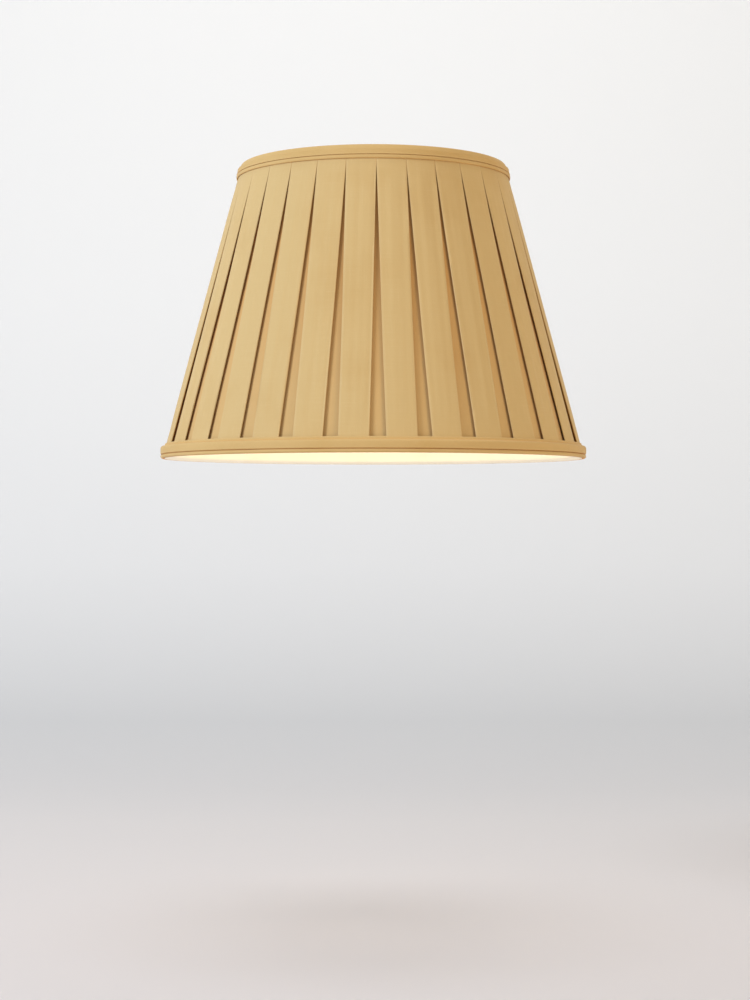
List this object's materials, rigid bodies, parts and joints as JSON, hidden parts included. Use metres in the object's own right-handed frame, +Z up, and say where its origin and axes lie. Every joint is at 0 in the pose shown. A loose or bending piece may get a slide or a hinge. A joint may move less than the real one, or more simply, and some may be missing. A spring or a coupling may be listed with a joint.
{
  "type": "lamp shade",
  "caption": "Straight-sided empire lamp shade with box-pleated cover, bias-trimmed rims, cloth lining, wire frame and tilting lampholder ring.",
  "frame": {"origin": "centre of the bottom rim, in the plane that the shade stands on", "axes": "+Z up along the shade's axis; -Y is the front that faces the viewer; +X is to the viewer's right"},
  "size_m": [0.36, 0.36, 0.248],
  "materials": {
    "pleated_cotton": "plain-weave ochre cotton, faint sheen",
    "bias_trim": "the same ochre cotton cut on the bias",
    "lining_cotton": "smooth cream lining cotton",
    "binding_tape": "unbleached cotton tape",
    "frame_steel": "off-white powder coat",
    "plated_steel": "nickel plate",
    "white_plastic": "moulded, satin"
  },
  "bodies": {
    "shade": {"top_ring": "frame_steel", "bottom_ring": "frame_steel", "strut_1": "frame_steel", "strut_2": "frame_steel", "strut_3": "frame_steel", "strut_4": "frame_steel", "strut_5": "frame_steel", "strut_6": "frame_steel", "top_ring_tape": "binding_tape", "bottom_ring_tape": "binding_tape", "pleat_panel_1": "pleated_cotton", "pleat_panel_2": "pleated_cotton", "pleat_panel_3": "pleated_cotton", "pleat_panel_4": "pleated_cotton", "pleat_panel_5": "pleated_cotton", "pleat_panel_6": "pleated_cotton", "top_band": "bias_trim", "top_piping": "bias_trim", "bottom_band": "bias_trim", "bottom_piping": "bias_trim", "lining_front": "lining_cotton", "lining_back": "lining_cotton", "arm_tab_1": "lining_cotton", "arm_tab_2": "lining_cotton", "arm_tab_3": "lining_cotton", "spider_arm_1": "frame_steel", "spider_arm_2": "frame_steel", "spider_arm_3": "frame_steel", "gimbal_yoke": "plated_steel"},
    "gimbal": {"gimbal_ring": "plated_steel", "pivot_rivet_front": "plated_steel", "pivot_rivet_back": "plated_steel", "reducer_ring": "white_plastic"}
  },
  "joints": [
    {"name": "gimbal_tilt", "type": "hinge", "parent": "shade", "child": "gimbal", "pos_m": [0, 0, 0.208], "axis": [0, 1, 0], "continuous": true}
  ]
}
